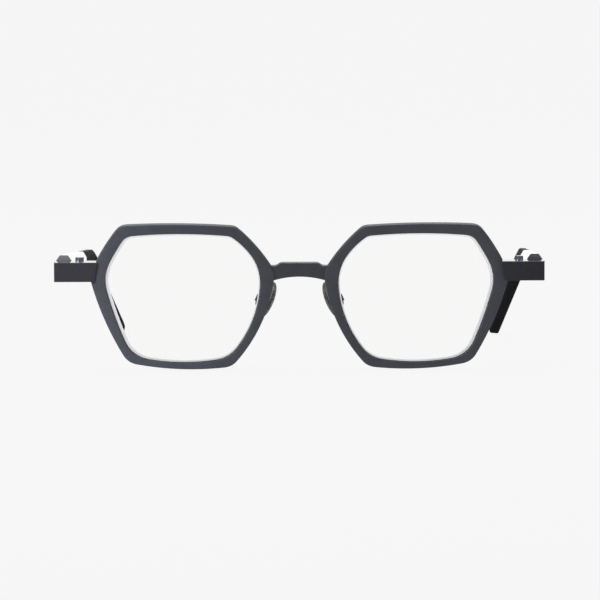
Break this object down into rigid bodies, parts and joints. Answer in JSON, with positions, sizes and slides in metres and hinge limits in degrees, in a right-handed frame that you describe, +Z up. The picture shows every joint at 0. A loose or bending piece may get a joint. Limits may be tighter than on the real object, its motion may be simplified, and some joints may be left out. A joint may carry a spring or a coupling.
{
  "type": "hexagonal eyeglasses",
  "caption": "Hexagonal eyeglasses with dark rims, clear lenses, a metal bridge and end pieces, folding temples and clear nose pads on wire arms.",
  "frame": {"origin": "bottom centre of the bounding box, on the surface that the rims and the temple tips stand on", "axes": "+X towards the side that is right as seen from the front, +Y back along the temples, +Z up, the front of the glasses faces -Y"},
  "size_m": [0.1446, 0.1424, 0.0434],
  "materials": {
    "rim_plastic": "matte",
    "bridge_metal": "satin",
    "end_piece_metal": "satin",
    "temple_acetate": "polished",
    "clear_lens": "clear, polished",
    "clear_pad": "clear, soft",
    "hinge_metal": "satin",
    "arm_wire": "satin",
    "steel": "satin"
  },
  "bodies": {
    "front": {"bridge": "bridge_metal", "bridge_screws": "steel", "end_piece_screws": "steel", "hinge_screws": "steel", "pad_screws": "steel", "rim_right": "rim_plastic", "lens_right": "clear_lens", "end_piece_right": "end_piece_metal", "front_hinge_leaf_right": "hinge_metal", "pad_arm_right": "arm_wire", "rim_left": "rim_plastic", "lens_left": "clear_lens", "end_piece_left": "end_piece_metal", "front_hinge_leaf_left": "hinge_metal", "pad_arm_left": "arm_wire"},
    "temple_right": {"temple_right": "temple_acetate", "temple_core_wire_right": "steel", "temple_hinge_leaf_right": "hinge_metal", "hinge_rivets_right": "steel"},
    "nose_pad_right": {"nose_pad_right": "clear_pad", "nose_pad_insert_right": "steel"},
    "temple_left": {"temple_left": "temple_acetate", "temple_core_wire_left": "steel", "temple_hinge_leaf_left": "hinge_metal", "hinge_rivets_left": "steel"},
    "nose_pad_left": {"nose_pad_left": "clear_pad", "nose_pad_insert_left": "steel"}
  },
  "joints": [
    {"name": "temple_fold_right", "type": "hinge", "parent": "front", "child": "temple_right", "pos_m": [0.0649, -0.06545, 0.02943], "axis": [0, 0.0143, 0.9999], "range_deg": [-0.45, 87.55]},
    {"name": "nose_pad_rock_right", "type": "hinge", "parent": "front", "child": "nose_pad_right", "pos_m": [0.01137, -0.06122, 0.02032], "axis": [0.3861, 0.8848, 0.2608], "range_deg": [-12, 12]},
    {"name": "temple_fold_left", "type": "hinge", "parent": "front", "child": "temple_left", "pos_m": [-0.0649, -0.06545, 0.02943], "axis": [0, -0.0143, -0.9999], "range_deg": [-2.2, 67.8]},
    {"name": "nose_pad_rock_left", "type": "hinge", "parent": "front", "child": "nose_pad_left", "pos_m": [-0.01137, -0.06122, 0.02032], "axis": [-0.3861, 0.8848, 0.2608], "range_deg": [-12, 12]}
  ]
}
